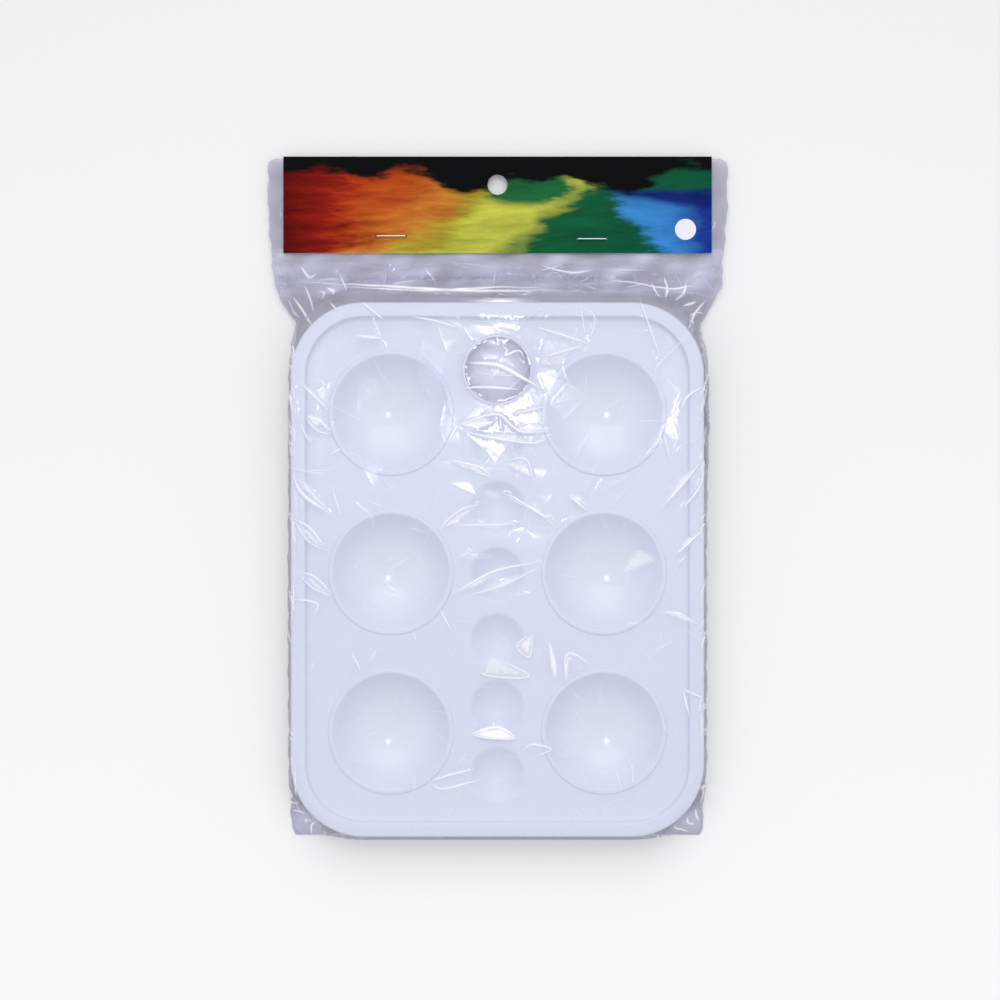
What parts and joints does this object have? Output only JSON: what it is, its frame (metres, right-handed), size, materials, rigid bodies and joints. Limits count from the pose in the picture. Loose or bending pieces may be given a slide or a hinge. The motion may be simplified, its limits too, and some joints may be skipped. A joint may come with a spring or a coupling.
{
  "type": "paint mixing palette",
  "caption": "Rectangular white plastic paint-mixing palette with dished round wells, a thumb hole and a raised rim, in a clear film bag closed by a folded, stapled header card.",
  "frame": {"origin": "bottom centre of the whole pack, lying on its back", "axes": "+X across the pack to the right, +Y up the pack towards the header card, +Z out of the wells"},
  "size_m": [0.1934, 0.2854, 0.015],
  "materials": {
    "tray_plastic": "white moulded plastic with a soft sheen",
    "clear_film": "clear thin bag film, glossy and creased",
    "printed_card": "coated card with a soft sheen, washed in blended paint colours",
    "staple_steel": "bright galvanised wire"
  },
  "bodies": {
    "bag": {"bag_pouch": "clear_film"},
    "tray": {"mixing_tray": "tray_plastic"},
    "header": {"bag_mouth": "clear_film", "header_card": "printed_card", "staple_left": "staple_steel", "staple_right": "staple_steel"}
  },
  "joints": [
    {"name": "tray_slide", "type": "slide", "parent": "bag", "child": "tray", "axis": [0, 1, 0], "range_m": [0, 0.004]},
    {"name": "header_fold", "type": "hinge", "parent": "bag", "child": "header", "pos_m": [0, 0.09165, 0.00175], "axis": [1, 0, 0], "range_deg": [-90, 90]}
  ]
}
